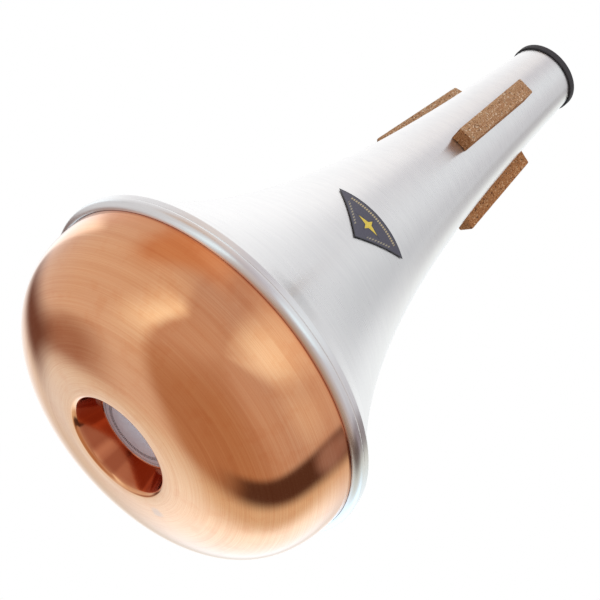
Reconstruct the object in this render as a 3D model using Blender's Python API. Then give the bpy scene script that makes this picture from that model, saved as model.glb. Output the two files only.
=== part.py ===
"""Bass trombone straight mute, standing on its copper bottom with the small end up.

The mute is two spun shells joined by a rolled rim. The aluminium body flares from the throat down to
the rim, where the sheet rolls into a bead and curls in over the turned-out flange of the copper
bottom. Three cork strips are glued along the neck and a rubber ring caps the cut edge of the throat.

The axis is Z and the origin is the centre of the face that the mute stands on. Sizes are in metres.
Profile points are (radius, height), with heights measured from the rim plane, through the bead's middle.
"""
import math

import bmesh
import bpy
from mathutils import Euler, Vector

# Whole mute
RIM_RADIUS = 0.0760
BASE_TO_RIM = 0.0472
RIM_TO_THROAT = 0.2237
SEAT_GAP = 0.0003
ROUND_STEPS = 60
SHARP_ANGLE = math.radians(35)

# Aluminium body: its radius is NECK_RADIUS less the taper, plus a spread that dies away up the neck
BODY_SHEET = 0.0010
NECK_RADIUS = 0.02235
NECK_TAPER = 0.0434
FLARE_SPREAD = 0.05512
FLARE_LENGTH = 0.06694
FLARE_FOOT = 0.0024
FLARE_STEPS = 16

# Rolled bead at the rim, its crease under the flare and its cut edge beside the copper
BEAD_RADIUS = 0.0031
BEAD_CENTRE = RIM_RADIUS - BEAD_RADIUS
BEAD_START = math.radians(44)
CURL_START = math.radians(50)
CREASE_DEPTH = 0.0003
CURL_INNER_FOOT = 0.0032
BEAD_STEPS = 8
CURL_STEPS = 7

# Copper bottom: a dome with a flat foot ring and a round well in its middle
BOTTOM_SHEET = 0.0009
DOME_RADIUS = 0.0732
DOME_DEPTH = 0.0480
DOME_POWER_DOWN = 2.71
DOME_POWER_OUT = 2.99
DOME_STEPS = 12
CURL_EDGE_RADIUS = DOME_RADIUS + SEAT_GAP
FLANGE_RADIUS = 0.0746
FLANGE_HEIGHT = -0.00055
LIP_RADIUS = 0.0020
LIP_CENTRE = 0.0232
WELL_FLOOR_DEPTH = 0.0354
WELL_FILLET = 0.0008
WELL_FILLET_CENTRE = 0.0176
CORNER_STEPS = 4

# Cork strips, each with its turn in degrees, the height of its middle and its length. Their outer
# faces touch one cone, which has CORK_FACE_RADIUS at CORK_CONE_HEIGHT and narrows with the tilt
CORKS = (
    ("cork_strip_1", -4.86, 0.16922, 0.0466),
    ("cork_strip_2", 111.34, 0.16749, 0.0457),
    ("cork_strip_3", 234.63, 0.16714, 0.0486),
)
CORK_WIDTH = 0.0079
CORK_FACE_RADIUS = 0.02672
CORK_CONE_HEIGHT = 0.1680
CORK_TILT = math.radians(6.71)
CORK_BLOCK_DEPTH = 0.0105
CORK_EDGE = 0.0003
NECK_CUTTER_REACH = 0.0330
NECK_CUTTER_STEPS = 8

# Rubber ring over the throat edge
RING_DEPTH = 0.0018
RING_LEG = 0.0006
RING_TOP = 0.0008
RING_ROUND = 0.0004
RING_CORNER_STEPS = 3

# Labels
LABEL_THICKNESS = 0.0003
WELL_LABEL_RADIUS = 0.01745
SIDE_LABEL_WIDTH = 0.0371
SIDE_LABEL_HEIGHT = 0.0190
SIDE_LABEL_CENTRE = 0.07245
SIDE_LABEL_TURN = math.radians(-1.6)
SIDE_LABEL_BOW = 0.0005
SIDE_LABEL_ROWS = 6
SIDE_LABEL_COLUMNS = 10

# Colours (linear), metallic and roughness
ALUMINIUM = ((0.80, 0.81, 0.83), 1.0, 0.35)
COPPER = ((0.76, 0.33, 0.17), 1.0, 0.28)
CORK = ((0.43, 0.21, 0.09), 0.0, 0.90)
RUBBER = ((0.045, 0.042, 0.048), 0.0, 0.70)
SILVER_FOIL = ((0.55, 0.53, 0.58), 0.8, 0.40)
SLATE_FOIL = ((0.06, 0.06, 0.10), 0.2, 0.45)


def clear_scene():
    """Remove every object of the open file."""
    for obj in list(bpy.data.objects):
        bpy.data.objects.remove(obj, do_unlink=True)


def make_material(name, look):
    """Principled material from a colour, a metallic value and a roughness."""
    color, metallic, roughness = look
    material = bpy.data.materials.new(name)
    material.use_nodes = True
    shader = material.node_tree.nodes["Principled BSDF"]
    shader.inputs["Base Color"].default_value = (*color, 1.0)
    shader.inputs["Metallic"].default_value = metallic
    shader.inputs["Roughness"].default_value = roughness
    return material


def add_object(name, mesh, location=(0.0, 0.0, 0.0), look=None):
    """Put a mesh in the scene as a named object with its own material."""
    obj = bpy.data.objects.new(name, mesh)
    obj.location = location
    bpy.context.scene.collection.objects.link(obj)
    if look is not None:
        mesh.materials.append(make_material(name + "_finish", look))
    return obj


def spread(first, last, steps):
    """Evenly spaced values from first to last, both included."""
    return [first + (last - first) * index / steps for index in range(steps + 1)]


def arc(centre, radius, start, end, steps):
    """Profile points along an arc, with angles from the outward direction towards up."""
    angles = spread(start, end, steps)
    return [(centre[0] + radius * math.cos(a), centre[1] + radius * math.sin(a)) for a in angles]


def mesh_from(bm, name):
    """Turn a bmesh into a smooth-shaded mesh whose faces point out."""
    bmesh.ops.recalc_face_normals(bm, faces=bm.faces)
    mesh = bpy.data.meshes.new(name)
    bm.to_mesh(mesh)
    bm.free()
    mesh.shade_smooth()
    mesh.set_sharp_from_angle(angle=SHARP_ANGLE)
    return mesh


def spin_outline(name, points, closed):
    """Body of revolution about Z. An outline that isn't closed starts and ends on the axis."""
    bm = bmesh.new()
    verts = [bm.verts.new((radius, 0.0, height)) for radius, height in points]
    pairs = list(zip(verts, verts[1:]))
    if closed:
        pairs.append((verts[-1], verts[0]))
    edges = [bm.edges.new(pair) for pair in pairs]
    bmesh.ops.spin(
        bm, geom=verts + edges, cent=(0.0, 0.0, 0.0), axis=(0.0, 0.0, 1.0),
        angle=2.0 * math.pi, steps=ROUND_STEPS, use_merge=True, use_duplicate=False)
    bmesh.ops.remove_doubles(bm, verts=bm.verts, dist=1e-6)
    return mesh_from(bm, name)


def flare_radius(height):
    """Outer radius of the aluminium body at a height above the rim plane."""
    return NECK_RADIUS - NECK_TAPER * height + FLARE_SPREAD * math.exp(-height / FLARE_LENGTH)


def flare_slope(height):
    """Change of the flare's radius for each metre of height."""
    return -NECK_TAPER - FLARE_SPREAD / FLARE_LENGTH * math.exp(-height / FLARE_LENGTH)


def flare_point(height, lift):
    """Point at a distance outside the flare's outer line, or inside it where lift is negative."""
    slope = flare_slope(height)
    length = math.hypot(1.0, slope)
    return (flare_radius(height) + lift / length, height - lift * slope / length)


def body_outline():
    """Section of the aluminium sheet: flare outside, bead, cut edge, curl inside, flare inside."""
    centre = (BEAD_CENTRE, 0.0)
    curl_radius = BEAD_RADIUS - BODY_SHEET
    edge_offset = CURL_EDGE_RADIUS - BEAD_CENTRE
    bead_end = -math.acos(edge_offset / BEAD_RADIUS)
    curl_end = -math.acos(edge_offset / curl_radius)
    outside = [flare_point(height, 0.0) for height in spread(RIM_TO_THROAT, FLARE_FOOT, FLARE_STEPS)]
    crease = [flare_point(FLARE_FOOT, -CREASE_DEPTH)]
    bead = arc(centre, BEAD_RADIUS, BEAD_START, bead_end, BEAD_STEPS)
    curl = arc(centre, curl_radius, curl_end, CURL_START, CURL_STEPS)
    heights = spread(CURL_INNER_FOOT, RIM_TO_THROAT, FLARE_STEPS - 1)
    inside = [flare_point(height, -BODY_SHEET) for height in heights]
    return outside + crease + bead + curl + inside


def dome_line(inset, end_height):
    """Superellipse of the copper dome, from the wall under the rim down to a height below it."""
    radius = DOME_RADIUS - inset
    depth = DOME_DEPTH - inset
    end_turn = math.asin((-end_height / depth) ** (DOME_POWER_DOWN / 2.0))
    start_turn = math.asin((-FLANGE_HEIGHT / depth) ** (DOME_POWER_DOWN / 2.0))
    points = []
    for turn in spread(start_turn, end_turn, DOME_STEPS):
        down = depth * math.sin(turn) ** (2.0 / DOME_POWER_DOWN)
        out = radius * math.cos(turn) ** (2.0 / DOME_POWER_OUT)
        points.append((out, -down))
    return points


def well_line(inset):
    """Lip, leaning wall and floor fillet of the well, from the foot ring to the flat floor."""
    lip_centre = (LIP_CENTRE, LIP_RADIUS - BASE_TO_RIM)
    fillet_centre = (WELL_FILLET_CENTRE, -WELL_FLOOR_DEPTH - WELL_FILLET)
    across = LIP_CENTRE - WELL_FILLET_CENTRE
    climb = fillet_centre[1] - lip_centre[1]
    lean = math.acos((LIP_RADIUS + WELL_FILLET) / math.hypot(across, climb)) - math.atan2(climb, across)
    lip = arc(lip_centre, LIP_RADIUS - inset, -math.pi / 2.0, lean - math.pi, CORNER_STEPS)
    fillet = arc(fillet_centre, WELL_FILLET + inset, lean, math.pi / 2.0, CORNER_STEPS)
    return lip + fillet


def bottom_outline():
    """Section of the copper sheet from the axis, out under the foot ring, up to the flange and back."""
    outer_line = dome_line(0.0, -BASE_TO_RIM) + well_line(0.0)
    outer_line.append((0.0, -WELL_FLOOR_DEPTH))
    inner_line = dome_line(BOTTOM_SHEET, BOTTOM_SHEET - BASE_TO_RIM) + well_line(BOTTOM_SHEET)
    inner_line.append((0.0, BOTTOM_SHEET - WELL_FLOOR_DEPTH))
    bend = arc((DOME_RADIUS, FLANGE_HEIGHT), BOTTOM_SHEET, math.pi, math.pi / 2.0, CORNER_STEPS)
    flange = [(FLANGE_RADIUS, FLANGE_HEIGHT + BOTTOM_SHEET), (FLANGE_RADIUS, FLANGE_HEIGHT)]
    return inner_line[::-1] + bend[1:] + flange + outer_line


def make_body():
    """Spun aluminium body with its flare and rolled bead."""
    mesh = spin_outline("body_shell", body_outline(), closed=True)
    return add_object("body_shell", mesh, (0.0, 0.0, BASE_TO_RIM), ALUMINIUM)


def make_bottom():
    """Spun copper bottom with its flange, foot ring and well."""
    mesh = spin_outline("bottom_shell", bottom_outline(), closed=False)
    return add_object("bottom_shell", mesh, (0.0, 0.0, BASE_TO_RIM), COPPER)


def make_neck_cutter():
    """Solid of the neck, larger by the seat gap, that hollows the backs of the corks."""
    bottom = CORK_CONE_HEIGHT - NECK_CUTTER_REACH
    top = CORK_CONE_HEIGHT + NECK_CUTTER_REACH
    side = [flare_point(height, SEAT_GAP) for height in spread(top, bottom, NECK_CUTTER_STEPS)]
    outline = [(0.0, side[0][1])] + side + [(0.0, side[-1][1])]
    cutter = add_object("neck_cutter", spin_outline("neck_cutter", outline, closed=False))
    cutter.location = (0.0, 0.0, BASE_TO_RIM)
    cutter.hide_render = True
    cutter.display_type = "WIRE"
    return cutter


def cork_block(length):
    """Plain block whose outer face lies at x = 0, with its length along Z."""
    bm = bmesh.new()
    bmesh.ops.create_cube(bm, size=1.0)
    bmesh.ops.translate(bm, verts=bm.verts, vec=(-0.5, 0.0, 0.0))
    bmesh.ops.scale(bm, verts=bm.verts, vec=(CORK_BLOCK_DEPTH, CORK_WIDTH, length))
    return mesh_from(bm, "cork_block")


def make_cork(name, turn, height, length, cutter):
    """Cork strip on the neck, leaning with it, eased at its edges and hollowed to seat on it."""
    radius = CORK_FACE_RADIUS - math.tan(CORK_TILT) * (height - CORK_CONE_HEIGHT)
    face = Vector((radius * math.cos(turn), radius * math.sin(turn), BASE_TO_RIM + height))
    cork = add_object(name, cork_block(length), face, CORK)
    cork.rotation_euler = Euler((0.0, -CORK_TILT, turn), "XYZ")
    edges = cork.modifiers.new("eased_edges", "BEVEL")
    edges.width = CORK_EDGE
    edges.segments = 1
    edges.limit_method = "NONE"
    seat = cork.modifiers.new("neck_seat", "BOOLEAN")
    seat.operation = "DIFFERENCE"
    seat.solver = "EXACT"
    seat.object = cutter
    return cork


def make_corks():
    """Three cork strips, about a third of a turn apart round the neck."""
    cutter = make_neck_cutter()
    return [make_cork(name, math.radians(turn), height, length, cutter)
            for name, turn, height, length in CORKS]


def ring_outline():
    """U-shaped section of the rubber ring that grips the throat edge from outside and inside."""
    foot = -RING_DEPTH
    channel_top = SEAT_GAP
    top = channel_top + RING_TOP
    channel_out = flare_radius(RIM_TO_THROAT - RING_DEPTH) + SEAT_GAP
    channel_in = flare_radius(RIM_TO_THROAT) - BODY_SHEET - SEAT_GAP
    outer = channel_out + RING_LEG
    inner = channel_in - RING_LEG
    outer_round = (outer - RING_ROUND, top - RING_ROUND)
    inner_round = (inner + RING_ROUND, top - RING_ROUND)
    section = [(outer, foot)]
    section += arc(outer_round, RING_ROUND, 0.0, math.pi / 2.0, RING_CORNER_STEPS)
    section += arc(inner_round, RING_ROUND, math.pi / 2.0, math.pi, RING_CORNER_STEPS)
    section += [(inner, foot), (channel_in, foot), (channel_in, channel_top)]
    section += [(channel_out, channel_top), (channel_out, foot)]
    return section


def make_ring():
    """Rubber ring pushed over the cut edge of the throat."""
    mesh = spin_outline("throat_ring", ring_outline(), closed=True)
    return add_object("throat_ring", mesh, (0.0, 0.0, BASE_TO_RIM + RIM_TO_THROAT), RUBBER)


def make_well_label():
    """Round label lying under the flat floor of the well."""
    bm = bmesh.new()
    bmesh.ops.create_cone(
        bm, cap_ends=True, segments=ROUND_STEPS, radius1=WELL_LABEL_RADIUS,
        radius2=WELL_LABEL_RADIUS, depth=LABEL_THICKNESS)
    height = BASE_TO_RIM - WELL_FLOOR_DEPTH - SEAT_GAP - LABEL_THICKNESS / 2.0
    return add_object("well_label", mesh_from(bm, "well_label"), (0.0, 0.0, height), SILVER_FOIL)


def wrap_on_flare(across, up, lift):
    """Point on the flare for a point of a flat sheet laid on it, as on an unrolled cone."""
    cone_angle = math.atan(-flare_slope(SIDE_LABEL_CENTRE))
    reach = flare_radius(SIDE_LABEL_CENTRE) / math.sin(cone_angle)
    turn = SIDE_LABEL_TURN + math.atan2(across, reach - up) / math.sin(cone_angle)
    climb = reach - math.hypot(across, reach - up)
    radius, height = flare_point(SIDE_LABEL_CENTRE + climb * math.cos(cone_angle), lift)
    return Vector((radius * math.cos(turn), radius * math.sin(turn), height))


def label_row(bm, row, lift):
    """Vertices across the label at one row, from its left side to its right side."""
    share = row / SIDE_LABEL_ROWS
    verts = []
    for across in spread(-1.0, 1.0, SIDE_LABEL_COLUMNS):
        up = SIDE_LABEL_HEIGHT * (share - 0.5) + SIDE_LABEL_BOW * share * (1.0 - across ** 2)
        point = wrap_on_flare(across * share * SIDE_LABEL_WIDTH / 2.0, up, lift)
        verts.append(bm.verts.new(point))
    return verts


def label_side(bm, lift):
    """One face sheet of the label, as rows of quads above a fan at the lower corner."""
    corner = bm.verts.new(wrap_on_flare(0.0, -SIDE_LABEL_HEIGHT / 2.0, lift))
    rows = [label_row(bm, row, lift) for row in range(1, SIDE_LABEL_ROWS + 1)]
    for left, right in zip(rows[0], rows[0][1:]):
        bm.faces.new((corner, left, right))
    for lower, upper in zip(rows, rows[1:]):
        for index in range(SIDE_LABEL_COLUMNS):
            bm.faces.new((lower[index], upper[index], upper[index + 1], lower[index + 1]))
    rim = [corner] + [row[0] for row in rows] + rows[-1][1:-1] + [row[-1] for row in rows[::-1]]
    return rim


def make_side_label():
    """Three-cornered label wrapped on the flare, pointing down."""
    bm = bmesh.new()
    back = label_side(bm, SEAT_GAP)
    front = label_side(bm, SEAT_GAP + LABEL_THICKNESS)
    for index in range(len(back)):
        bm.faces.new((back[index - 1], back[index], front[index], front[index - 1]))
    mesh = mesh_from(bm, "side_label")
    return add_object("side_label", mesh, (0.0, 0.0, BASE_TO_RIM), SLATE_FOIL)


def make_mute():
    """All pieces of the mute under one empty at the centre of its base."""
    clear_scene()
    pieces = [make_body(), make_bottom(), make_ring(), make_well_label(), make_side_label()]
    pieces += make_corks()
    root = add_object("bass_trombone_mute", None)
    for piece in pieces:
        piece.parent = root


make_mute()
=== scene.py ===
"""Looks of the bass trombone straight mute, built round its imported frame.

Each piece is a finer mesh of the form that the frame holds, in the place of its node, with a
procedural material. Lengths are in metres. Profile points are (radius, height over the rim plane),
and the rim plane goes through the middle of the bead.
"""

import math

import bmesh
import bpy
from mathutils import Euler, Matrix, Vector, noise


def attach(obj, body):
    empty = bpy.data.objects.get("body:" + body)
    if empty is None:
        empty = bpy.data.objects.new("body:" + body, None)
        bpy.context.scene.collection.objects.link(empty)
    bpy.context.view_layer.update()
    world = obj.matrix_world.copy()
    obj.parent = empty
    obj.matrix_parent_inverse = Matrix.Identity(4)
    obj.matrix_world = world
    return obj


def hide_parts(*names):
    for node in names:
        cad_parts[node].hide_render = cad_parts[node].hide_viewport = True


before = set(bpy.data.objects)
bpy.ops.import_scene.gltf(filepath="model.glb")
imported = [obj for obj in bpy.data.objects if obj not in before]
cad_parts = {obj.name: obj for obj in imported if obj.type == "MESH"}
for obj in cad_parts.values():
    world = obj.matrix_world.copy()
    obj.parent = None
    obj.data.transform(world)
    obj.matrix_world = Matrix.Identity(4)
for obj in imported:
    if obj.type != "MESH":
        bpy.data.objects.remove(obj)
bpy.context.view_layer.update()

# Whole mute
RIM_RADIUS = 0.0760
BASE_TO_RIM = 0.0472
RIM_TO_THROAT = 0.2237
SEAT_GAP = 0.0003

# Aluminium body: a cone that widens by an exponential flare
BODY_SHEET = 0.0010
NECK_RADIUS = 0.02235
NECK_TAPER = 0.0434
FLARE_SPREAD = 0.05512
FLARE_LENGTH = 0.06694

# Curl of the aluminium round the copper's flange
BEAD_RADIUS = 0.0031
BEAD_CENTRE = RIM_RADIUS - BEAD_RADIUS
CURL_START = math.radians(50)
CURL_INNER_FOOT = 0.0032

# Finer form of the rim: a short wall under the flare, a crease and a bead with a flat face
FOOT_RISE = 0.0016
FOOT_FADE = (0.0042, 0.0140)
WALL_LEAN = math.radians(3.0)
WALL_FOOT = 0.0016
WALL_ROUND = 0.0007
CREASE_HEIGHT = 0.00145
CREASE_DEPTH = 0.00012
FACE_CENTRE = (0.0752, 0.00060)
FACE_ROUND = 0.0008
FACE_TURN = (math.radians(78), math.radians(2))
FACE_FOOT = -0.0003
BEAD_ROUND = 0.0028

# Copper bottom: a superellipse with a flange at the top and a round well in its middle
BOTTOM_SHEET = 0.0009
DOME_RADIUS = 0.0732
DOME_DEPTH = 0.0480
DOME_POWER_DOWN = 2.71
DOME_POWER_OUT = 2.99
EDGE_GAP = 0.00008
CURL_EDGE_RADIUS = DOME_RADIUS + EDGE_GAP
FLANGE_RADIUS = 0.0746
FLANGE_HEIGHT = -0.00055
LIP_RADIUS = 0.0020
LIP_CENTRE = 0.0232
WELL_FLOOR_DEPTH = 0.0354
WELL_FILLET = 0.0008
WELL_FILLET_CENTRE = 0.0176

# Cork strips: name, turn in degrees, height of the middle, length
CORKS = (
    ("1", -4.86, 0.16922, 0.0466),
    ("2", 111.34, 0.16749, 0.0457),
    ("3", 234.63, 0.16714, 0.0486),
)
CORK_WIDTH = 0.0079
CORK_FACE_RADIUS = 0.02672
CORK_CONE_HEIGHT = 0.1680
CORK_TILT = math.radians(6.71)
CORK_CORNER = 0.00035
CORK_WEAR = 0.30
CORK_GRAIN_SIZE = 0.0007
CORK_GRAIN_DEPTH = 0.00007

# Rubber ring
RING_DEPTH = 0.0018
RING_LEG = 0.0006
RING_TOP = 0.0008
RING_ROUND = 0.0004

# Labels
LABEL_THICKNESS = 0.0003
WELL_LABEL_RADIUS = 0.01745
SIDE_LABEL_WIDTH = 0.0371
SIDE_LABEL_HEIGHT = 0.0190
SIDE_LABEL_CENTRE = 0.07245
SIDE_LABEL_TURN = math.radians(-1.6)
SIDE_LABEL_BOW = 0.0005

# Tones on the copper, partly painted shade. A pair says where a tone starts and where it is full: two
# heights over the foot ring, radii of the well's mouth or distances from the dull patch's place
RIM_REDDENING = (0.030, 0.044)
# Painted shade in the seam, where the copper reflects the dark curl of the bead
SEAM_PAINTED_SHADE = (0.0431, 0.0440)
# Where the painted shade and inter-reflection inside the well fade in: radii of its mouth, heights over
# the foot ring
WELL_MOUTH = (0.0222, 0.0208)
WELL_START = (0.0, 0.0016)
DULL_PATCH_PLACE = (-0.0120, 0.0279, 0.0005)
DULL_PATCH_EDGE = (0.0070, 0.0045)
DULL_PATCH_RAGGEDNESS = 0.006

# Printed marks of the well label: the dashes of a full turn, and radii in metres
DASH_COUNT = 120.0
DASH_BAND = (0.0128, 0.0146)
THIN_RING = (0.0161, 0.0165)

# Printed marks of the side label in millimetres: rows of dashes in from an edge, where they start and
# end at the sides, and a star
TOP_ROW = (1.5, 2.9)
TOP_ROW_END = (12.5, 12.0)
LOW_ROWS = (1.0, 2.1)
LOW_ROWS_START = (3.0, 3.4)
LOW_ROWS_END = (12.0, 11.5)
STAR_HEIGHT = 1.6
STAR_ARMS = ((5.2, 1.35), (1.4, 3.2))

# Fineness of the meshes
ROUND_STEPS = 224
FLARE_STEPS = 60
FOOT_STEPS = 12
BEAD_STEPS = 22
CURL_STEPS = 10
DOME_STEPS = 44
CORNER_STEPS = 8
SMALL_CORNER_STEPS = 6
EDGE_STEPS = 3
CORK_STEPS = (14, 64, 12)
CORK_BACK_GUESS = 0.004
CORK_BACK_TRIES = 12
WELL_LABEL_STEPS = 120
WELL_LABEL_RINGS = 6
WELL_LABEL_FIRST_RING = 0.003
SIDE_LABEL_ROWS = 20
SIDE_LABEL_COLUMNS = 36
FLOOR_STEPS = 96
SHARP_ANGLE = math.radians(35)

# A profile point that is nearer the axis than this lies on it
ON_AXIS = 1e-7

# Least divisors, so that nothing is divided by zero
LEAST_RADIUS = 1e-5
LEAST_SINE = 1e-4

# Camera of the photograph, with the directions to its right, up and ahead
CAMERA_PLACE = Vector((0.60379, 0.0, -0.27732))
CAMERA_LENS = 109.586
CAMERA_SENSOR = 36.0
CAMERA_RIGHT = Vector((0.40296, 0.65556, 0.63864))
CAMERA_UP = Vector((0.34432, -0.75513, 0.55788))
CAMERA_AHEAD = Vector((-0.84798, 0.00491, 0.53001))
CAMERA_CLIP = (0.01, 50.0)

# Lamps: name, place, aim, size and level. Full white, and the plain light of the room
LAMPS = (
    ("key_lamp", (0.95, -0.25, 0.35), (0.0, 0.0, 0.13), 0.7, 0.42),
    ("side_lamp", (-0.75, 0.65, 0.55), (0.0, 0.0, 0.13), 0.8, 0.28),
    ("top_lamp", (0.15, -0.10, 1.30), (0.0, 0.0, 0.10), 0.8, 0.38),
)
WHITE = (1.0, 1.0, 1.0)
ROOM_LIGHT = (0.52, 0.52, 0.53)

# Floor: it ends softly between two distances from the mute
FLOOR_RADIUS = 1.6
FLOOR_DROP = 0.0002
FLOOR_FADE = (0.30, 1.10)

# Studio set that the metal reflects: the floor's and the room's colour, and the heights of a unit
# direction between which the one fades into the other
SET_FLOOR = (0.58, 0.49, 0.46)
SET_ROOM = (0.55, 0.50, 0.53)
SET_HORIZON = (-0.60, 0.30)

# Parts laid over it, from the far ones to the near ones. A shape is an oval's middle, half sizes, turn
# and softness. Side and rise are where a part fades in, across and up. All but softness is in degrees
# across and up from the camera's straight ahead
LEFT_WALL = ((-45, 38), (90, 100), -25, 0.06)
SCREEN = ((0, -40), (56, 44), 0, 0.12)
GAP = ((8, -42), (71, 60), 0, 0.05)
STUDIO_PARTS = (
    # Brown floor under the mute, the left wall and the lit strip along its edge
    dict(color=(0.45, 0.30, 0.21), shape=((-50, -85), (75, 60), -30, 0.60)),
    dict(color=(0.70, 0.68, 0.68), shape=LEFT_WALL, side=(30, -50)),
    dict(color=(1.10, 1.30, 1.35), shape=LEFT_WALL, side=(-45, -95), rise=(-50, 25),
         hole=((-36, 36), (85, 90), -25, 0.20)),
    # Warm ceiling, the window at the far right and the pale wall beside it
    dict(color=(0.60, 0.40, 0.28), shape=((-10, 100), (45, 15), 15, 0.60)),
    dict(color=(1.00, 1.15, 1.20), shape=((132, 36), (25, 65), 20, 0.90)),
    dict(color=(0.70, 0.69, 0.70), shape=((105, -40), (20, 30), -20, 0.80)),
    # Light grey wall over the neck, a darker gap in it and the lamp at its left
    dict(color=(0.80, 0.80, 0.81), shape=((50, 35), (60, 50), 0, 0.50)),
    dict(color=(0.60, 0.61, 0.62), shape=((60, 8), (15, 25), 0, 0.60)),
    dict(color=(1.20, 1.20, 1.20), shape=((0, 35), (20, 50), -20, 1.00)),
    # Dark gap round the screen, with a dim reflection at its right end
    dict(color=(0.09, 0.05, 0.04), shape=GAP, side=(-50, -15), rise=(10, -35)),
    dict(color=(0.33, 0.26, 0.28), shape=((68, -42), (10, 15), 0, 0.60)),
    # Brown corner at the left and the white screen behind the mute, brightest in two places
    dict(color=(0.38, 0.26, 0.22), shape=((-62, -22), (20, 15), 0, 0.60)),
    dict(color=(0.71, 0.70, 0.62), shape=SCREEN),
    dict(color=(0.80, 0.95, 1.05), shape=((-45, -38), (12, 22), 0, 0.50)),
    dict(color=(1.15, 1.45, 1.70), shape=((0, -45), (40, 20), 5, 0.40)),
    dict(color=(1.05, 1.07, 1.07), shape=((10, -6), (44, 14), 0, 0.50)),
    # Dark arch at the screen's upper left and the bright slit above it
    dict(color=(0.16, 0.08, 0.06), shape=((-30, -15), (30, 28), 0, 0.30), side=(-5, -15), rise=(-25, -12),
         hole=((-20, -20), (20, 28), 0, 0.30)),
    dict(color=(1.20, 1.30, 1.35), shape=((-25, 24), (5, 22), 25, 0.50)),
)


def spread(first, last, steps):
    """Evenly spaced values from first to last, both included."""
    return [first + (last - first) * index / steps for index in range(steps + 1)]


def arc(centre, radius, start, end, steps):
    """Profile points along an arc, with angles from the outward direction towards up."""
    angles = spread(start, end, steps)
    return [(centre[0] + radius * math.cos(a), centre[1] + radius * math.sin(a)) for a in angles]


def add_piece(name, mesh, node):
    """Put a mesh in the scene in place of a node of the frame."""
    obj = bpy.data.objects.new(name, mesh)
    bpy.context.scene.collection.objects.link(obj)
    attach(obj, "root")
    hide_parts(node)


def mesh_from(bm, name):
    """Turn a bmesh into a smooth-shaded mesh whose faces point out."""
    bmesh.ops.recalc_face_normals(bm, faces=bm.faces)
    mesh = bpy.data.meshes.new(name)
    bm.to_mesh(mesh)
    bm.free()
    mesh.shade_smooth()
    mesh.set_sharp_from_angle(angle=SHARP_ANGLE)
    return mesh


def lathe(name, outline, steps=ROUND_STEPS):
    """Body of revolution about Z. An outline that ends on the axis at both ends closes there."""
    bm = bmesh.new()
    rings = []
    for radius, height in outline:
        z = height + BASE_TO_RIM
        if radius < ON_AXIS:
            rings.append([bm.verts.new((0.0, 0.0, z))])
            continue
        turns = [2.0 * math.pi * index / steps for index in range(steps)]
        rings.append([bm.verts.new((radius * math.cos(t), radius * math.sin(t), z)) for t in turns])
    pairs = list(zip(rings, rings[1:]))
    if len(rings[0]) > 1:
        pairs.append((rings[-1], rings[0]))
    for lower, upper in pairs:
        for index in range(steps):
            after = (index + 1) % steps
            if len(lower) == 1:
                bm.faces.new((lower[0], upper[index], upper[after]))
            elif len(upper) == 1:
                bm.faces.new((lower[index], upper[0], lower[after]))
            else:
                bm.faces.new((lower[index], upper[index], upper[after], lower[after]))
    return mesh_from(bm, name)


def flare_radius(height):
    """Outer radius of the aluminium body at a height above the rim plane."""
    return NECK_RADIUS - NECK_TAPER * height + FLARE_SPREAD * math.exp(-height / FLARE_LENGTH)


def flare_slope(height):
    """Change of the flare's radius for each metre of height."""
    return -NECK_TAPER - FLARE_SPREAD / FLARE_LENGTH * math.exp(-height / FLARE_LENGTH)


def flare_point(height, lift):
    """Point at a distance outside the flare's outer line, or inside it where lift is negative."""
    slope = flare_slope(height)
    length = math.hypot(1.0, slope)
    return (flare_radius(height) + lift / length, height - lift * slope / length)


def foot_line():
    """Foot of the flare, which spreads a little more than the rest, and the short wall under it."""
    points = []
    for height in spread(FOOT_FADE[1], FOOT_FADE[0], FOOT_STEPS):
        share = (height - FOOT_FADE[0]) / (FOOT_FADE[1] - FOOT_FADE[0])
        fade = 1.0 - share * share * (3.0 - 2.0 * share)
        points.append((flare_radius(height - FOOT_RISE * fade), height))
    radius, height = points.pop()
    lean = math.atan(-flare_slope(height))
    centre = (radius - WALL_ROUND * math.cos(lean), height - WALL_ROUND * math.sin(lean))
    points += arc(centre, WALL_ROUND, lean, WALL_LEAN, CORNER_STEPS)
    radius, height = points[-1]
    points.append((radius + (height - WALL_FOOT) * math.tan(WALL_LEAN), WALL_FOOT))
    points.append((points[-1][0] - CREASE_DEPTH, CREASE_HEIGHT))
    return points


def bead_line():
    """Bead from the crease, over its rounded top and flat face, to the cut edge by the copper."""
    centre = (RIM_RADIUS - BEAD_ROUND, FACE_FOOT)
    end = -math.acos((CURL_EDGE_RADIUS - centre[0]) / BEAD_ROUND)
    top = arc(FACE_CENTRE, FACE_ROUND, *FACE_TURN, CORNER_STEPS)
    return top + arc(centre, BEAD_ROUND, 0.0, end, BEAD_STEPS)


def body_outline():
    """Section of the aluminium sheet: flare outside, bead, cut edge, curl inside, flare inside."""
    curl_radius = BEAD_RADIUS - BODY_SHEET
    curl_end = -math.acos((CURL_EDGE_RADIUS - BEAD_CENTRE) / curl_radius)
    heights = spread(RIM_TO_THROAT, FOOT_FADE[1], FLARE_STEPS)
    outside = [flare_point(height, 0.0) for height in heights[:-1]]
    curl = arc((BEAD_CENTRE, 0.0), curl_radius, curl_end, CURL_START, CURL_STEPS)
    heights = spread(CURL_INNER_FOOT, RIM_TO_THROAT, FLARE_STEPS // 2)
    inside = [flare_point(height, -BODY_SHEET) for height in heights]
    return outside + foot_line() + bead_line() + curl + inside


def dome_line(inset, end_height):
    """Superellipse of the copper dome, from the wall under the rim down to a height below it."""
    radius = DOME_RADIUS - inset
    depth = DOME_DEPTH - inset
    end_turn = math.asin((-end_height / depth) ** (DOME_POWER_DOWN / 2.0))
    start_turn = math.asin((-FLANGE_HEIGHT / depth) ** (DOME_POWER_DOWN / 2.0))
    points = []
    for turn in spread(start_turn, end_turn, DOME_STEPS):
        down = depth * math.sin(turn) ** (2.0 / DOME_POWER_DOWN)
        out = radius * math.cos(turn) ** (2.0 / DOME_POWER_OUT)
        points.append((out, -down))
    return points


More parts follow.
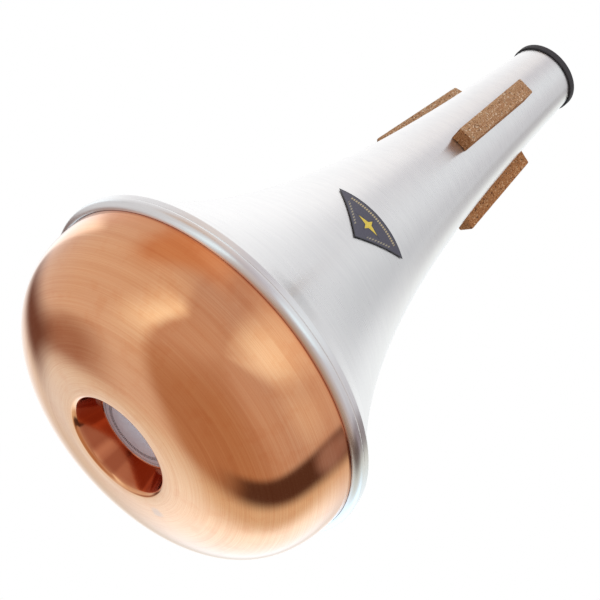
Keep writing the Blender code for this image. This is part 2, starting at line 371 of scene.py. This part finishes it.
def well_line(inset):
    """Lip, leaning wall and floor fillet of the well, from the foot ring to the flat floor."""
    lip_centre = (LIP_CENTRE, LIP_RADIUS - BASE_TO_RIM)
    fillet_centre = (WELL_FILLET_CENTRE, -WELL_FLOOR_DEPTH - WELL_FILLET)
    across = LIP_CENTRE - WELL_FILLET_CENTRE
    climb = fillet_centre[1] - lip_centre[1]
    lean = math.acos((LIP_RADIUS + WELL_FILLET) / math.hypot(across, climb)) - math.atan2(climb, across)
    lip = arc(lip_centre, LIP_RADIUS - inset, -math.pi / 2.0, lean - math.pi, CORNER_STEPS)
    fillet = arc(fillet_centre, WELL_FILLET + inset, lean, math.pi / 2.0, CORNER_STEPS)
    return lip + fillet


def bottom_outline():
    """Section of the copper sheet from the axis, out under the foot ring, up to the flange and back."""
    outer_line = dome_line(0.0, -BASE_TO_RIM) + well_line(0.0)
    outer_line.append((0.0, -WELL_FLOOR_DEPTH))
    inner_line = dome_line(BOTTOM_SHEET, BOTTOM_SHEET - BASE_TO_RIM) + well_line(BOTTOM_SHEET)
    inner_line.append((0.0, BOTTOM_SHEET - WELL_FLOOR_DEPTH))
    bend = arc((DOME_RADIUS, FLANGE_HEIGHT), BOTTOM_SHEET, math.pi, math.pi / 2.0, CORNER_STEPS)
    flange = [(FLANGE_RADIUS, FLANGE_HEIGHT + BOTTOM_SHEET), (FLANGE_RADIUS, FLANGE_HEIGHT)]
    return inner_line[::-1] + bend[1:] + flange + outer_line


def ring_outline():
    """U-shaped section of the rubber ring that grips the throat edge from outside and inside."""
    foot = RIM_TO_THROAT - RING_DEPTH
    channel_top = RIM_TO_THROAT + SEAT_GAP
    top = channel_top + RING_TOP
    channel_out = flare_radius(foot) + SEAT_GAP
    channel_in = flare_radius(RIM_TO_THROAT) - BODY_SHEET - SEAT_GAP
    outer = channel_out + RING_LEG
    inner = channel_in - RING_LEG
    ease = RING_ROUND / 2.0
    quarter = math.pi / 2.0
    section = arc((outer - ease, foot + ease), ease, -quarter, 0.0, EDGE_STEPS)
    for middle, turn in ((outer - RING_ROUND, 0.0), (inner + RING_ROUND, quarter)):
        section += arc((middle, top - RING_ROUND), RING_ROUND, turn, turn + quarter, SMALL_CORNER_STEPS)
    section += [(inner, foot), (channel_in, foot), (channel_in, channel_top)]
    section += [(channel_out, channel_top), (channel_out, foot)]
    return section


def cork_back(face, across, along):
    """Depth under the cork's face at which its back meets the neck, less the seat gap."""
    tilt = Euler((0.0, -CORK_TILT, 0.0)).to_matrix()
    depth = CORK_BACK_GUESS
    for _ in range(CORK_BACK_TRIES):
        point = face + tilt @ Vector((-depth, across, along))
        radius, height = math.hypot(point.x, point.y), point.z
        depth += (radius - flare_radius(height)) / math.hypot(1.0, flare_slope(height)) - SEAT_GAP
    return depth


def cork_mesh(name, turn, height, length):
    """Cork strip with worn edges and a grainy surface, its back hollowed to sit on the neck."""
    counts = CORK_STEPS
    bm = bmesh.new()
    found = {}
    face = Vector((CORK_FACE_RADIUS - math.tan(CORK_TILT) * (height - CORK_CONE_HEIGHT), 0.0, height))
    place = Matrix.Rotation(math.radians(turn), 4, "Z") @ Matrix.Translation(
        face + Vector((0.0, 0.0, BASE_TO_RIM))) @ Matrix.Rotation(-CORK_TILT, 4, "Y")

    def vert(key):
        if key not in found:
            across = (key[0] / counts[0] - 0.5) * CORK_WIDTH
            along = (key[1] / counts[1] - 0.5) * length
            back = cork_back(face, across, along)
            deep = key[2] / counts[2] * back
            room = (CORK_WIDTH / 2 - abs(across), length / 2 - abs(along), deep)
            near = [max(0.0, 1.0 - gap / CORK_CORNER) for gap in room]
            inward = Vector((-near[2], -math.copysign(near[0], across), -math.copysign(near[1], along)))
            worn = CORK_WEAR * CORK_CORNER * max(0.0, sum(near) - 1.0)
            spot = Vector((-deep, across, along)) + inward * worn
            grain = noise.noise((place @ spot) / CORK_GRAIN_SIZE)
            if key[2] < counts[2]:
                spot += inward * (0.5 + 0.5 * grain) * CORK_GRAIN_DEPTH
            found[key] = bm.verts.new(place @ spot)
        return found[key]

    def sheet(fixed, value, first, second):
        for i in range(counts[first]):
            for j in range(counts[second]):
                corners = []
                for di, dj in ((0, 0), (1, 0), (1, 1), (0, 1)):
                    key = [0, 0, 0]
                    key[fixed], key[first], key[second] = value, i + di, j + dj
                    corners.append(vert(tuple(key)))
                bm.faces.new(corners)

    for fixed, first, second in ((0, 1, 2), (1, 0, 2), (2, 0, 1)):
        for value in (0, counts[fixed]):
            sheet(fixed, value, first, second)
    return mesh_from(bm, name)


def wrap_on_flare(across, up, lift):
    """Point on the flare for a point of a flat sheet laid on it, as on an unrolled cone."""
    cone_angle = math.atan(-flare_slope(SIDE_LABEL_CENTRE))
    reach = flare_radius(SIDE_LABEL_CENTRE) / math.sin(cone_angle)
    turn = SIDE_LABEL_TURN + math.atan2(across, reach - up) / math.sin(cone_angle)
    climb = reach - math.hypot(across, reach - up)
    radius, height = flare_point(SIDE_LABEL_CENTRE + climb * math.cos(cone_angle), lift)
    return Vector((radius * math.cos(turn), radius * math.sin(turn), height + BASE_TO_RIM))


def side_label_mesh(name):
    """Three-cornered label wrapped on the flare, pointing down, with its flat sheet's place as UV."""
    bm = bmesh.new()
    spots = {}

    def row_of(share, lift):
        if share == 0.0:
            vert = bm.verts.new(wrap_on_flare(0.0, -SIDE_LABEL_HEIGHT / 2.0, lift))
            spots[vert] = (0.0, -SIDE_LABEL_HEIGHT / 2.0)
            return [vert]
        row = []
        for side in spread(-1.0, 1.0, SIDE_LABEL_COLUMNS):
            across = side * share * SIDE_LABEL_WIDTH / 2.0
            up = SIDE_LABEL_HEIGHT * (share - 0.5) + SIDE_LABEL_BOW * share * (1.0 - side ** 2)
            vert = bm.verts.new(wrap_on_flare(across, up, lift))
            spots[vert] = (across, up)
            row.append(vert)
        return row

    def sheet(lift):
        rows = [row_of(index / SIDE_LABEL_ROWS, lift) for index in range(SIDE_LABEL_ROWS + 1)]
        for index in range(SIDE_LABEL_COLUMNS):
            bm.faces.new((rows[0][0], rows[1][index], rows[1][index + 1]))
        for lower, upper in zip(rows[1:], rows[2:]):
            for index in range(SIDE_LABEL_COLUMNS):
                bm.faces.new((lower[index], upper[index], upper[index + 1], lower[index + 1]))
        return rows[0] + [row[0] for row in rows[1:]] + rows[-1][1:-1] + [row[-1] for row in rows[:0:-1]]

    back = sheet(SEAT_GAP)
    front = sheet(SEAT_GAP + LABEL_THICKNESS)
    for index in range(len(back)):
        bm.faces.new((back[index - 1], back[index], front[index], front[index - 1]))
    flat = bm.loops.layers.uv.new("sheet")
    for face in bm.faces:
        for loop in face.loops:
            across, up = spots[loop.vert]
            loop[flat].uv = (0.5 + across / SIDE_LABEL_WIDTH, 0.5 + up / SIDE_LABEL_WIDTH)
    return mesh_from(bm, name)


def well_label_mesh(name):
    """Round label under the flat floor of the well, its edge eased."""
    top = -WELL_FLOOR_DEPTH - SEAT_GAP
    foot = top - LABEL_THICKNESS
    ease = LABEL_THICKNESS / 3.0
    outline = [(0.0, foot)]
    rings = spread(WELL_LABEL_FIRST_RING, WELL_LABEL_RADIUS - ease, WELL_LABEL_RINGS)
    outline += [(radius, foot) for radius in rings]
    outline += arc((WELL_LABEL_RADIUS - ease, foot + ease), ease, -math.pi / 2, 0.0, EDGE_STEPS)[1:]
    outline += [(WELL_LABEL_RADIUS, top), (0.0, top)]
    return lathe(name, outline, WELL_LABEL_STEPS)


class Tree:
    """Short names for building one node tree."""

    def __init__(self, tree):
        self.tree = tree
        tree.nodes.clear()

    def add(self, kind, feeds=None, **settings):
        """New shader node with its settings, and its inputs fed by values or sockets."""
        node = self.tree.nodes.new("ShaderNode" + kind)
        for key, value in settings.items():
            setattr(node, key, value)
        for key, value in (feeds or {}).items():
            self.feed(node.inputs[key], value)
        return node

    def feed(self, socket, value):
        """Link a socket to an input, or set the input's own value."""
        if isinstance(value, bpy.types.NodeSocket):
            self.tree.links.new(value, socket)
        elif isinstance(value, tuple) and len(value) == 3 and socket.type == "RGBA":
            socket.default_value = (*value, 1.0)
        else:
            socket.default_value = value

    def math(self, operation, first, second=0.0, third=0.0):
        """Result of a math node."""
        return self.add("Math", {0: first, 1: second, 2: third}, operation=operation).outputs[0]

    def total(self, *values):
        """Sum of several values."""
        result = values[0]
        for value in values[1:]:
            result = self.math("ADD", result, value)
        return result

    def times(self, *values):
        """Product of several values."""
        result = values[0]
        for value in values[1:]:
            result = self.math("MULTIPLY", result, value)
        return result

    def length(self, x, y):
        """Length of a flat vector."""
        return self.math("SQRT", self.total(self.times(x, x), self.times(y, y)))

    def step(self, value, low, high, start=0.0, end=1.0):
        """Smooth change from start to end as value goes from low to high."""
        feeds = {"Value": value, "From Min": low, "From Max": high, "To Min": start, "To Max": end}
        return self.add("MapRange", feeds, interpolation_type="SMOOTHSTEP").outputs[0]

    def band(self, value, low, high, soft):
        """1 where the value lies between low and high, with soft edges inside them."""
        return self.times(self.step(value, low, low + soft), self.step(value, high, high - soft))

    def mix(self, share, first, second):
        """Colour between two colours."""
        return self.add("Mix", {0: share, 6: first, 7: second}, data_type="RGBA").outputs[2]

    def tint(self, share, first, second):
        """First colour multiplied by the second, as far as the share says."""
        node = self.add("Mix", {0: share, 6: first, 7: second}, data_type="RGBA", blend_type="MULTIPLY")
        return node.outputs[2]

    def place(self):
        """Place on the object, in metres of the frame."""
        return self.add("TexCoord").outputs["Object"]

    def noise(self, vector, scale, detail=2.0, roughness=0.5, extent=None):
        """Noise value at a place, with a fourth coordinate where one is given."""
        feeds = {"Vector": vector, "Scale": scale, "Detail": detail, "Roughness": roughness}
        if extent is not None:
            feeds["W"] = extent
        dimensions = "3D" if extent is None else "4D"
        return self.add("TexNoise", feeds, noise_dimensions=dimensions).outputs[0]

    def vector(self, x, y, z=0.0):
        """Vector of three values."""
        return self.add("CombineXYZ", {0: x, 1: y, 2: z}).outputs[0]

    def parts(self, vector):
        """The three values of a vector."""
        return self.add("SeparateXYZ", {0: vector}).outputs

    def compare(self, operation, first, second=(0.0, 0.0, 0.0)):
        """One value from two vectors, such as their distance or dot product."""
        return self.add("VectorMath", {0: first, 1: second}, operation=operation).outputs["Value"]

    def bump(self, height, distance, strength=1.0, under=None):
        """Normal that a height bends, over another bent normal where one is given."""
        feeds = {"Height": height, "Distance": distance, "Strength": strength}
        if under is not None:
            feeds["Normal"] = under
        return self.add("Bump", feeds).outputs[0]

    def output(self, shader, kind="OutputMaterial"):
        """Close the tree with its output node."""
        self.tree.links.new(shader, self.add(kind).inputs["Surface"])


def new_material(name):
    """Empty material and the tree that builds it."""
    material = bpy.data.materials.new(name)
    material.use_nodes = True
    return material, Tree(material.node_tree)


def spun_lines(tree, place, fine, broad, drift):
    """Heights of fine and of broad lines round the axis: noise that hardly changes on a turn."""
    x, y, z = tree.parts(place)
    radius = tree.length(x, y)
    safe = tree.math("MAXIMUM", radius, LEAST_RADIUS)
    across, along = tree.math("DIVIDE", x, safe), tree.math("DIVIDE", y, safe)
    heights = []
    for scale, detail, spin in ((fine, 3.0, drift), (broad, 2.0, drift * 0.5)):
        vector = tree.vector(tree.times(radius, scale), tree.times(z, scale), tree.times(across, spin))
        heights.append(tree.noise(vector, 1.0, detail, 0.6, tree.times(along, spin)))
    return heights


def spun_metal(tree, color, rough, lines, depths, stretch, **coat):
    """Metal shader with highlights stretched by the spun lines, which it takes as grooves."""
    normal = tree.bump(lines[0], depths[0])
    normal = tree.bump(lines[1], depths[1], under=normal)
    tangent = tree.add("Tangent", direction_type="RADIAL", axis="Z").outputs[0]
    shader = tree.add("BsdfPrincipled", {
        "Base Color": color, "Metallic": 1.0, "Roughness": rough, "Anisotropic": stretch,
        "Anisotropic Rotation": 0.25, "Tangent": tangent, "Normal": normal})
    for key, value in coat.items():
        tree.feed(shader.inputs["Coat " + key], value)
    tree.output(shader.outputs[0])


def aluminium():
    """Fine brushed satin aluminium, its lines running round the mute."""
    material, tree = new_material("spun_aluminium")
    place = tree.place()
    fine, broad = spun_lines(tree, place, 2600.0, 420.0, 5.0)
    cloud = tree.noise(place, 26.0, 2.0)
    color = tree.mix(tree.step(fine, 0.3, 0.7), (0.865, 0.865, 0.87), (0.925, 0.922, 0.92))
    color = tree.tint(tree.step(broad, 0.35, 0.75), color, (0.97, 0.97, 0.975))
    rough = tree.total(tree.times(fine, 0.06), tree.times(cloud, 0.05), 0.23)
    spun_metal(tree, color, rough, (fine, broad), (0.0000022, 0.000006), 0.7)
    return material


def copper():
    """Polished copper over fine spinning lines, a little uneven in tone, with painted shade: deep red in
    the well, darker in the seam.
    """
    material, tree = new_material("spun_copper")
    place = tree.place()
    x, y, z = tree.parts(place)
    fine, broad = spun_lines(tree, place, 3600.0, 420.0, 1.6)
    cloud = tree.noise(place, 34.0, 3.0)
    blotch = tree.noise(place, 120.0, 4.0, 0.6)

    # Lines, clouds and blotches, a redder tone towards the rim, and painted shade in the seam
    color = tree.mix(tree.step(fine, 0.30, 0.70), (0.91, 0.410, 0.180), (0.985, 0.510, 0.250))
    color = tree.tint(tree.step(broad, 0.45, 0.75), color, (0.93, 0.86, 0.80))
    color = tree.mix(tree.step(cloud, 0.45, 0.75, 0.0, 0.3), color, (0.88, 0.43, 0.23))
    color = tree.tint(tree.step(blotch, 0.50, 0.66, 0.0, 0.8), color, (0.97, 0.90, 0.84))
    # Redder and a little darker towards the rim
    color = tree.tint(tree.step(z, *RIM_REDDENING), color, (0.985, 0.90, 0.84))
    # Painted shade: a darker red in the seam, standing in for the dark curl that the copper reflects
    # there
    color = tree.tint(tree.step(z, *SEAM_PAINTED_SHADE), color, (0.78, 0.48, 0.38))

    # Duller, darker patch beside the well, and painted shade and inter-reflection in the well: a deeper
    # red
    gap = tree.compare("DISTANCE", place, DULL_PATCH_PLACE)
    dull_patch = tree.total(gap, tree.times(blotch, DULL_PATCH_RAGGEDNESS))
    color = tree.mix(tree.step(dull_patch, *DULL_PATCH_EDGE, 0.0, 0.45), color, (0.50, 0.36, 0.30))
    # Painted shade and inter-reflection: the inside of the well turns a darker, deeper red
    well = tree.times(tree.step(tree.length(x, y), *WELL_MOUTH), tree.step(z, *WELL_START))
    color = tree.mix(well, color, (0.52, 0.130, 0.042))

    rough = tree.total(tree.times(fine, 0.05), tree.times(cloud, 0.03), 0.055)
    spun_metal(tree, color, rough, (fine, broad), (0.0000020, 0.000006), 0.5, Weight=0.8, Roughness=0.12)
    return material


def cork():
    """Agglomerated cork: pale and brown granules with dark specks, and painted shade that makes most ends
    and sides darker and redder.
    """
    material, tree = new_material("agglomerated_cork")
    place = tree.place()
    waver = tree.add("TexNoise", {"Vector": place, "Scale": 900.0}).outputs["Color"]
    bent = tree.add("VectorMath", {0: place, 1: waver, 2: (0.0004, 0.0004, 0.0004)},
                    operation="MULTIPLY_ADD").outputs[0]
    cells = tree.add("TexVoronoi", {"Vector": bent, "Scale": 620.0})
    tone = tree.parts(cells.outputs["Color"])[0]
    rim = tree.step(cells.outputs["Distance"], 0.45, 0.75)
    specks = tree.step(tree.noise(place, 900.0, 2.0), 0.60, 0.68)
    flecks = tree.step(tree.noise(place, 1100.0, 1.0), 0.60, 0.68)
    color = tree.mix(tree.step(tone, 0.30, 0.70), (0.36, 0.130, 0.042), (0.88, 0.58, 0.34))
    color = tree.mix(tree.times(rim, 0.5), color, (0.27, 0.090, 0.030))
    color = tree.mix(tree.times(specks, 0.8), color, (0.11, 0.040, 0.016))
    color = tree.mix(tree.times(flecks, 0.7), color, (0.97, 0.78, 0.58))

    # Painted shade: the ends and sides are darker and redder than the outer faces, but for the strip on
    # the -Y side
    x, y = tree.parts(place)[:2]
    outward = tree.add("VectorMath", {0: tree.vector(x, y)}, operation="NORMALIZE").outputs[0]
    facing = tree.compare("DOT_PRODUCT", outward, tree.add("NewGeometry").outputs["True Normal"])
    sides = tree.times(tree.step(facing, 0.85, 0.60), tree.step(y, -0.012, -0.006))
    color = tree.tint(sides, color, (1.0, 0.78, 0.58))

    height = tree.math("SUBTRACT", tree.times(tone, 0.5), rim)
    shader = tree.add("BsdfPrincipled", {
        "Base Color": color, "Roughness": tree.math("MULTIPLY_ADD", tone, 0.12, 0.78),
        "Normal": tree.bump(height, 0.00012, 0.8)})
    shader.inputs["Specular IOR Level"].default_value = 0.25
    tree.output(shader.outputs[0])
    return material


def rubber():
    """Matt black rubber with a dusty bloom and a fine pebble."""
    material, tree = new_material("black_rubber")
    place = tree.place()
    dust = tree.noise(place, 700.0, 3.0)
    pebble = tree.noise(place, 2600.0, 2.0)
    shader = tree.add("BsdfPrincipled", {
        "Base Color": tree.mix(dust, (0.022, 0.020, 0.023), (0.046, 0.042, 0.046)),
        "Roughness": tree.math("MULTIPLY_ADD", dust, 0.2, 0.5),
        "Normal": tree.bump(pebble, 0.00005, 0.6)})
    tree.output(shader.outputs[0])
    return material


def slate_label():
    """Dark slate foil with a darker border, rows of small dashes and a plain gold star."""
    material, tree = new_material("slate_label")
    u, v = tree.parts(tree.add("UVMap", uv_map="sheet").outputs[0])[:2]
    half, tall, bow = SIDE_LABEL_WIDTH * 500.0, SIDE_LABEL_HEIGHT * 1000.0, SIDE_LABEL_BOW * 1000.0
    across = tree.times(tree.math("SUBTRACT", u, 0.5), 2.0 * half)
    up = tree.times(tree.math("SUBTRACT", v, 0.5), 2.0 * half)
    side = tree.math("ABSOLUTE", across)

    # Millimetres in from the two slanted edges, and down from the bowed top edge
    slant = math.hypot(half, tall)
    low = tree.total(tree.times(side, -tall / slant), tree.times(up, half / slant),
                     half * tall / 2.0 / slant)
    bowed = tree.times(tree.times(side, side), -bow / half ** 2)
    high = tree.math("SUBTRACT", tree.total(bowed, tall / 2.0 + bow), up)
    edge = tree.math("MINIMUM", low, tree.times(high, 0.8))

    grain = tree.noise(tree.vector(across, up), 2.2, 3.0)
    color = tree.mix(grain, (0.040, 0.037, 0.066), (0.075, 0.071, 0.092))
    dashes = tree.math("PINGPONG", tree.total(across, 0.3), 0.5)
    top_row = tree.times(tree.step(dashes, 0.16, 0.24), tree.band(high, *TOP_ROW, 0.2),
                         tree.step(side, *TOP_ROW_END))
    low_rows = tree.times(tree.step(dashes, 0.20, 0.28), tree.band(low, *LOW_ROWS, 0.2),
                          tree.step(side, *LOW_ROWS_START), tree.step(side, *LOW_ROWS_END))
    color = tree.mix(tree.times(top_row, 0.9), color, (0.45, 0.36, 0.20))
    color = tree.mix(tree.times(low_rows, 0.85), color, (0.33, 0.29, 0.20))

    # Star of two crossed diamonds, on a darker halo
    rise = tree.math("ABSOLUTE", tree.math("SUBTRACT", up, STAR_HEIGHT))
    arms = [tree.total(tree.times(side, 1.0 / reach), tree.times(rise, 1.0 / climb))
            for reach, climb in STAR_ARMS]
    far = tree.math("MINIMUM", *arms)
    color = tree.mix(tree.times(tree.step(far, 1.5, 1.3), 0.6), color, (0.020, 0.018, 0.035))
    color = tree.mix(tree.step(far, 1.06, 0.94), color, (0.62, 0.46, 0.045))

    color = tree.mix(tree.step(edge, 0.45, 0.25), color, (0.022, 0.024, 0.032))
    shader = tree.add("BsdfPrincipled", {
        "Base Color": color, "Roughness": tree.math("MULTIPLY_ADD", grain, 0.15, 0.32),
        "Normal": tree.bump(grain, 0.00002, 0.4)})
    tree.output(shader.outputs[0])
    return material


def silver_label():
    """Satin silver foil, bare but for a printed band of plain dashes and a thin ring."""
    material, tree = new_material("silver_label")
    place = tree.place()
    x, y = tree.parts(place)[:2]
    radius = tree.length(x, y)
    cloud = tree.noise(place, 240.0, 3.0)
    color = tree.mix(cloud, (0.76, 0.74, 0.82), (0.86, 0.84, 0.90))
    turn = tree.times(tree.math("ARCTAN2", y, x), DASH_COUNT / (2.0 * math.pi))
    dash = tree.step(tree.math("PINGPONG", turn, 0.5), 0.16, 0.22)
    band = tree.times(dash, tree.band(radius, *DASH_BAND, 0.0002))
    ring = tree.band(radius, *THIN_RING, 0.00015)
    ink = tree.math("MAXIMUM", band, tree.times(ring, 0.7))
    color = tree.mix(tree.times(ink, 0.8), color, (0.07, 0.065, 0.08))
    shader = tree.add("BsdfPrincipled", {
        "Base Color": color, "Metallic": 0.35, "Roughness": tree.math("MULTIPLY_ADD", cloud, 0.15, 0.38),
        "Normal": tree.bump(cloud, 0.00003, 0.4)})
    tree.output(shader.outputs[0])
    return material


def oval(tree, u, v, middle, half, turn, soft):
    """Soft-edged oval on the studio set, 1 inside and 0 outside. Its measures are in degrees."""
    c, s = math.cos(math.radians(turn)), math.sin(math.radians(turn))
    du, dv = tree.math("SUBTRACT", u, middle[0]), tree.math("SUBTRACT", v, middle[1])
    x = tree.total(tree.times(du, c / half[0]), tree.times(dv, s / half[0]))
    y = tree.total(tree.times(du, -s / half[1]), tree.times(dv, c / half[1]))
    return tree.step(tree.length(x, y), 1.0 + soft, 1.0 - soft)


def lay(tree, spot, under, color, shape, side=None, rise=None, hole=None):
    """Lay an oval of a colour over the studio set, faded across or up, or with a hole in it."""
    share = oval(tree, *spot, *shape)
    if hole:
        share = tree.times(share, tree.math("SUBTRACT", 1.0, oval(tree, *spot, *hole)))
    if side:
        share = tree.times(share, tree.step(spot[0], *side))
    if rise:
        share = tree.times(share, tree.step(spot[1], *rise))
    return tree.mix(share, under, color)


def studio_set(tree):
    """Colour that the metal reflects from each direction: a white screen, a dark gap and soft walls."""
    toward = tree.add("TexCoord").outputs["Generated"]
    side, rise, ahead = [tree.compare("DOT_PRODUCT", toward, axis)
                         for axis in (CAMERA_RIGHT, CAMERA_UP, CAMERA_AHEAD)]
    angle = tree.times(tree.math("ARCCOSINE", ahead), 180.0 / math.pi)
    scale = tree.math("DIVIDE", angle, tree.math("MAXIMUM", tree.length(side, rise), LEAST_SINE))
    spot = (tree.times(side, scale), tree.times(rise, scale))
    z = tree.parts(toward)[2]
    color = tree.mix(tree.step(z, *SET_HORIZON), SET_FLOOR, SET_ROOM)
    for part in STUDIO_PARTS:
        color = lay(tree, spot, color, **part)
    return color


def build_world():
    """White to the camera, the studio set to glossy rays and plain light to the rest."""
    world = bpy.data.worlds.new("studio")
    world.use_nodes = True
    bpy.context.scene.world = world
    tree = Tree(world.node_tree)
    rays = tree.add("LightPath").outputs
    seen = tree.math("MAXIMUM", rays["Is Glossy Ray"], rays["Is Transmission Ray"])
    color = tree.mix(seen, ROOM_LIGHT, studio_set(tree))
    color = tree.mix(rays["Is Camera Ray"], color, WHITE)
    tree.output(tree.add("Background", {"Color": color, "Strength": 1.0}).outputs[0], "OutputWorld")


def add_lamp(name, place, aim, size, level):
    """Soft square lamp that gives a facing surface at the aim a level of light, 1 being full."""
    light = bpy.data.lights.new(name, "AREA")
    light.size = size
    way = Vector(aim) - Vector(place)
    light.energy = level * math.pi ** 2 * way.length ** 2
    obj = bpy.data.objects.new(name, light)
    obj.location = place
    obj.rotation_euler = way.to_track_quat("-Z", "Y").to_euler()
    obj.visible_glossy = False
    obj.visible_camera = False
    bpy.context.scene.collection.objects.link(obj)


def build_floor():
    """Pale floor, seen only from above, that fades into the background."""
    bm = bmesh.new()
    bmesh.ops.create_circle(bm, cap_ends=True, segments=FLOOR_STEPS, radius=FLOOR_RADIUS)
    mesh = bpy.data.meshes.new("floor")
    bm.to_mesh(mesh)
    bm.free()
    floor = bpy.data.objects.new("floor", mesh)
    floor.location = (0.0, 0.0, -FLOOR_DROP)
    bpy.context.scene.collection.objects.link(floor)
    material, tree = new_material("pale_floor")
    place = tree.place()
    far = tree.compare("LENGTH", place)
    below = tree.add("NewGeometry").outputs["Backfacing"]
    color = tree.mix(tree.noise(place, 60.0, 3.0), (0.90, 0.90, 0.90), (0.93, 0.93, 0.93))
    surface = tree.add("BsdfDiffuse", {"Color": color}).outputs[0]
    hidden = tree.math("MAXIMUM", below, tree.step(far, *FLOOR_FADE))
    clear = tree.add("BsdfTransparent").outputs[0]
    tree.output(tree.add("MixShader", {0: hidden, 1: surface, 2: clear}).outputs[0])
    mesh.materials.append(material)
    floor.visible_diffuse = False
    floor.visible_glossy = False
    floor.visible_shadow = False


def build_camera():
    """Camera at the photograph's place and angle."""
    data = bpy.data.cameras.new("photo_camera")
    data.lens = CAMERA_LENS
    data.sensor_width = CAMERA_SENSOR
    data.clip_start, data.clip_end = CAMERA_CLIP
    camera = bpy.data.objects.new("photo_camera", data)
    turned = Matrix((CAMERA_RIGHT, CAMERA_UP, -CAMERA_AHEAD)).transposed()
    camera.matrix_world = Matrix.Translation(CAMERA_PLACE) @ turned.to_4x4()
    bpy.context.scene.collection.objects.link(camera)
    bpy.context.scene.camera = camera


def build_mute():
    """Every piece of the mute with its material."""
    pieces = [
        ("aluminium_body", lathe("aluminium_body", body_outline()), "body_shell", "spun_aluminium",
         aluminium()),
        ("copper_bottom", lathe("copper_bottom", bottom_outline()), "bottom_shell", "spun_copper",
         copper()),
        ("rubber_ring", lathe("rubber_ring", ring_outline()), "throat_ring", "black_rubber", rubber()),
        ("foil_in_well", well_label_mesh("foil_in_well"), "well_label", "silver_label", silver_label()),
        ("foil_on_flare", side_label_mesh("foil_on_flare"), "side_label", "slate_label", slate_label()),
    ]
    cork_material = cork()
    for number, turn, height, length in CORKS:
        name = "cork_" + number
        mesh = cork_mesh(name, turn, height, length)
        pieces.append((name, mesh, "cork_strip_" + number, "cork", cork_material))
    for name, mesh, node, slot, material in pieces:
        add_piece(name, mesh, node)
        mesh.materials.append(material)


build_mute()
build_floor()
build_world()
for lamp in LAMPS:
    add_lamp(*lamp)
build_camera()
bpy.context.scene.view_settings.view_transform = "Standard"
